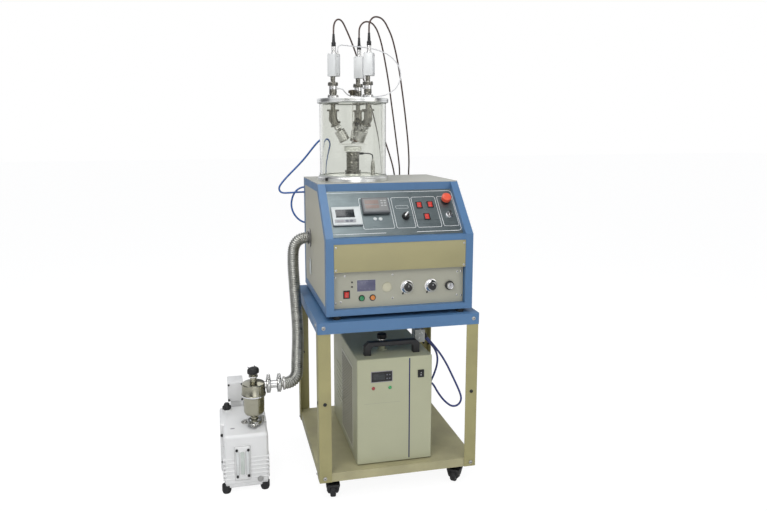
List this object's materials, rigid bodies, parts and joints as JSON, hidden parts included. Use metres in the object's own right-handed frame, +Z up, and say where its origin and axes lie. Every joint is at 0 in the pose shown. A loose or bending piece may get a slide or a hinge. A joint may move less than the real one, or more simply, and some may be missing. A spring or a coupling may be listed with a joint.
{
  "type": "magnetron sputter coater",
  "caption": "Sputter coater with a quartz chamber and tilting heads on a sloped cabinet, on a castored table with chiller, vacuum pump and bellows hose.",
  "frame": {"origin": "on the floor, under the middle of the footprint of everything but the cords", "axes": "+X to the operator's right, +Y away from the operator, +Z up"},
  "size_m": [0.9526, 0.6374, 1.7669],
  "materials": {
    "cart_top": "satin",
    "cart_legs": "satin",
    "cart_shelf": "satin",
    "caster_plates": "satin",
    "cabinet_frame": "satin",
    "cabinet_panels": "satin",
    "cabinet_top": "satin",
    "control_panel": "satin",
    "cord_fittings": "satin",
    "rf_generator": "satin",
    "rubber_feet": "satin",
    "vacuum_gauge": "satin",
    "temperature_controller": "satin",
    "switch_bezels": "satin",
    "estop_button": "satin",
    "selector_knob": "satin",
    "key_switch": "polished",
    "rocker_1": "satin",
    "rocker_2": "satin",
    "rocker_3": "satin",
    "rf_rocker": "satin",
    "rf_start_button": "satin",
    "rf_stop_button": "satin",
    "rf_dial_1": "satin",
    "rf_dial_2": "satin",
    "rf_knob": "satin",
    "base_flange": "satin",
    "quartz_cylinder": "satin",
    "chamber_lid": "satin",
    "chamber_seals": "satin",
    "shutter": "satin",
    "stage_column": "satin",
    "stage_table": "satin",
    "head_mounts": "satin",
    "sputter_head_1": "satin",
    "sputter_head_2": "satin",
    "sputter_head_3": "satin",
    "connector_boxes": "satin",
    "chiller_housing": "satin",
    "chiller_handle": "satin",
    "chiller_cap": "satin",
    "chiller_rocker": "satin",
    "pump_housing": "satin",
    "pump_ballast_knob": "satin",
    "inlet_trap": "satin",
    "trap_knob": "satin",
    "kf_clamps": "satin",
    "rf_cables": "satin",
    "cooling_loop": "satin",
    "water_tubes_left": "satin",
    "water_tubes_right": "satin",
    "bellows_hose": "satin",
    "caster_fork_front_left": "satin",
    "caster_wheel_front_left": "satin",
    "caster_fork_front_right": "satin",
    "caster_wheel_front_right": "satin",
    "caster_fork_rear_left": "satin",
    "caster_wheel_rear_left": "satin",
    "caster_fork_rear_right": "satin",
    "caster_wheel_rear_right": "satin"
  },
  "bodies": {
    "machine": {"cart_top": "cart_top", "cart_legs": "cart_legs", "cart_shelf": "cart_shelf", "caster_plates": "caster_plates", "cabinet_frame": "cabinet_frame", "cabinet_panels": "cabinet_panels", "cabinet_top": "cabinet_top", "control_panel": "control_panel", "cord_fittings": "cord_fittings", "rf_generator": "rf_generator", "rubber_feet": "rubber_feet", "vacuum_gauge": "vacuum_gauge", "temperature_controller": "temperature_controller", "switch_bezels": "switch_bezels", "base_flange": "base_flange", "quartz_cylinder": "quartz_cylinder", "chamber_lid": "chamber_lid", "chamber_seals": "chamber_seals", "stage_column": "stage_column", "head_mounts": "head_mounts", "connector_boxes": "connector_boxes", "chiller_housing": "chiller_housing", "chiller_handle": "chiller_handle", "pump_housing": "pump_housing", "inlet_trap": "inlet_trap", "kf_clamps": "kf_clamps", "rf_cables": "rf_cables", "cooling_loop": "cooling_loop", "water_tubes_left": "water_tubes_left", "water_tubes_right": "water_tubes_right", "bellows_hose": "bellows_hose"},
    "front_left_castor": {"caster_fork_front_left": "caster_fork_front_left"},
    "front_left_wheel": {"caster_wheel_front_left": "caster_wheel_front_left"},
    "front_right_castor": {"caster_fork_front_right": "caster_fork_front_right"},
    "front_right_wheel": {"caster_wheel_front_right": "caster_wheel_front_right"},
    "rear_left_castor": {"caster_fork_rear_left": "caster_fork_rear_left"},
    "rear_left_wheel": {"caster_wheel_rear_left": "caster_wheel_rear_left"},
    "rear_right_castor": {"caster_fork_rear_right": "caster_fork_rear_right"},
    "rear_right_wheel": {"caster_wheel_rear_right": "caster_wheel_rear_right"},
    "stage": {"stage_table": "stage_table"},
    "shutter": {"shutter": "shutter"},
    "head_1": {"sputter_head_1": "sputter_head_1"},
    "head_2": {"sputter_head_2": "sputter_head_2"},
    "head_3": {"sputter_head_3": "sputter_head_3"},
    "estop": {"estop_button": "estop_button"},
    "selector": {"selector_knob": "selector_knob"},
    "key": {"key_switch": "key_switch"},
    "rocker_1_tip": {"rocker_1": "rocker_1"},
    "rocker_2_tip": {"rocker_2": "rocker_2"},
    "rocker_3_tip": {"rocker_3": "rocker_3"},
    "rf_rocker_tip": {"rf_rocker": "rf_rocker"},
    "chiller_rocker_tip": {"chiller_rocker": "chiller_rocker"},
    "rf_start": {"rf_start_button": "rf_start_button"},
    "rf_stop": {"rf_stop_button": "rf_stop_button"},
    "dial_1": {"rf_dial_1": "rf_dial_1"},
    "dial_2": {"rf_dial_2": "rf_dial_2"},
    "power_knob": {"rf_knob": "rf_knob"},
    "filler_cap": {"chiller_cap": "chiller_cap"},
    "ballast": {"pump_ballast_knob": "pump_ballast_knob"},
    "trap_valve": {"trap_knob": "trap_knob"}
  },
  "joints": [
    {"name": "front_left_castor_joint", "type": "hinge", "parent": "machine", "child": "front_left_castor", "pos_m": [-0.07075, -0.2425, 0.065], "axis": [0, 0, 1], "continuous": true},
    {"name": "front_left_wheel_joint", "type": "hinge", "parent": "front_left_castor", "child": "front_left_wheel", "pos_m": [-0.07305, -0.26438, 0.025], "axis": [0.9945, -0.1045, 0], "continuous": true},
    {"name": "front_right_castor_joint", "type": "hinge", "parent": "machine", "child": "front_right_castor", "pos_m": [0.41325, -0.2425, 0.065], "axis": [0, 0, 1], "continuous": true},
    {"name": "front_right_wheel_joint", "type": "hinge", "parent": "front_right_castor", "child": "front_right_wheel", "pos_m": [0.3997, -0.25984, 0.025], "axis": [0.788, -0.6157, 0], "continuous": true},
    {"name": "rear_left_castor_joint", "type": "hinge", "parent": "machine", "child": "rear_left_castor", "pos_m": [-0.07075, 0.2235, 0.065], "axis": [0, 0, 1], "continuous": true},
    {"name": "rear_left_wheel_joint", "type": "hinge", "parent": "rear_left_castor", "child": "rear_left_wheel", "pos_m": [-0.06506, 0.20225, 0.025], "axis": [0.9659, 0.2588, 0], "continuous": true},
    {"name": "rear_right_castor_joint", "type": "hinge", "parent": "machine", "child": "rear_right_castor", "pos_m": [0.41325, 0.2235, 0.065], "axis": [0, 0, 1], "continuous": true},
    {"name": "rear_right_wheel_joint", "type": "hinge", "parent": "rear_right_castor", "child": "rear_right_wheel", "pos_m": [0.4043, 0.2034, 0.025], "axis": [0.9135, -0.4067, 0], "continuous": true},
    {"name": "stage_joint", "type": "hinge", "parent": "machine", "child": "stage", "pos_m": [0.06925, 0.0275, 1.26], "axis": [0, 0, 1], "continuous": true},
    {"name": "shutter_joint", "type": "hinge", "parent": "machine", "child": "shutter", "pos_m": [0.06925, 0.0275, 1.48], "axis": [0, 0, 1], "continuous": true},
    {"name": "head_1_joint", "type": "hinge", "parent": "machine", "child": "head_1", "pos_m": [0.00953, 0.02175, 1.34282], "axis": [-0.0958, 0.9954, 0], "range_deg": [0, 30]},
    {"name": "head_2_joint", "type": "hinge", "parent": "machine", "child": "head_2", "pos_m": [0.10409, -0.02135, 1.34282], "axis": [-0.8141, -0.5807, 0], "range_deg": [0, 30]},
    {"name": "head_3_joint", "type": "hinge", "parent": "machine", "child": "head_3", "pos_m": [0.09742, 0.08048, 1.34282], "axis": [0.8829, -0.4695, 0], "range_deg": [0, 30]},
    {"name": "estop_joint", "type": "slide", "parent": "machine", "child": "estop", "axis": [0, 0.723, -0.6909], "range_m": [0, 0.004], "stiffness_N_per_m": 400, "springref_m": -0.002},
    {"name": "selector_joint", "type": "hinge", "parent": "machine", "child": "selector", "pos_m": [0.21875, -0.19526, 1.0192], "axis": [0, -0.723, 0.6909], "range_deg": [0, 80]},
    {"name": "key_joint", "type": "hinge", "parent": "machine", "child": "key", "pos_m": [0.38675, -0.19457, 1.01993], "axis": [0, -0.723, 0.6909], "range_deg": [0, 90]},
    {"name": "rocker_1_tip_joint", "type": "hinge", "parent": "machine", "child": "rocker_1_tip", "pos_m": [0.28075, -0.15786, 1.05401], "axis": [-1, 0, 0], "range_deg": [0, 20]},
    {"name": "rocker_2_tip_joint", "type": "hinge", "parent": "machine", "child": "rocker_2_tip", "pos_m": [0.32375, -0.15717, 1.05473], "axis": [-1, 0, 0], "range_deg": [0, 20]},
    {"name": "rocker_3_tip_joint", "type": "hinge", "parent": "machine", "child": "rocker_3_tip", "pos_m": [0.29975, -0.19517, 1.01496], "axis": [-1, 0, 0], "range_deg": [0, 20]},
    {"name": "rf_rocker_tip_joint", "type": "hinge", "parent": "machine", "child": "rf_rocker_tip", "pos_m": [-0.01625, -0.2565, 0.756], "axis": [-1, 0, 0], "range_deg": [0, 20]},
    {"name": "chiller_rocker_tip_joint", "type": "hinge", "parent": "machine", "child": "chiller_rocker_tip", "pos_m": [0.26075, -0.2615, 0.443], "axis": [-1, 0, 0], "range_deg": [0, 20]},
    {"name": "rf_start_joint", "type": "slide", "parent": "machine", "child": "rf_start", "axis": [0, 1, 0], "range_m": [0, 0.003], "stiffness_N_per_m": 300, "springref_m": -0.001},
    {"name": "rf_stop_joint", "type": "slide", "parent": "machine", "child": "rf_stop", "axis": [0, 1, 0], "range_m": [0, 0.003], "stiffness_N_per_m": 300, "springref_m": -0.001},
    {"name": "dial_1_joint", "type": "hinge", "parent": "machine", "child": "dial_1", "pos_m": [0.20675, -0.2595, 0.772], "axis": [0, -1, 0], "range_deg": [0, 3600]},
    {"name": "dial_2_joint", "type": "hinge", "parent": "machine", "child": "dial_2", "pos_m": [0.29775, -0.2595, 0.772], "axis": [0, -1, 0], "range_deg": [0, 3600]},
    {"name": "power_knob_joint", "type": "hinge", "parent": "machine", "child": "power_knob", "pos_m": [0.36675, -0.2595, 0.77], "axis": [0, -1, 0], "range_deg": [-150, 150]},
    {"name": "filler_cap_joint", "type": "hinge", "parent": "machine", "child": "filler_cap", "pos_m": [0.13825, -0.1595, 0.55], "axis": [0, 0, 1], "range_deg": [0, 540]},
    {"name": "ballast_joint", "type": "hinge", "parent": "machine", "child": "ballast", "pos_m": [-0.44375, 0.0685, 0.235], "axis": [0, 0, 1], "range_deg": [0, 180]},
    {"name": "trap_valve_joint", "type": "hinge", "parent": "machine", "child": "trap_valve", "pos_m": [-0.34275, -0.0895, 0.435], "axis": [0, 0, 1], "range_deg": [0, 1080]}
  ]
}
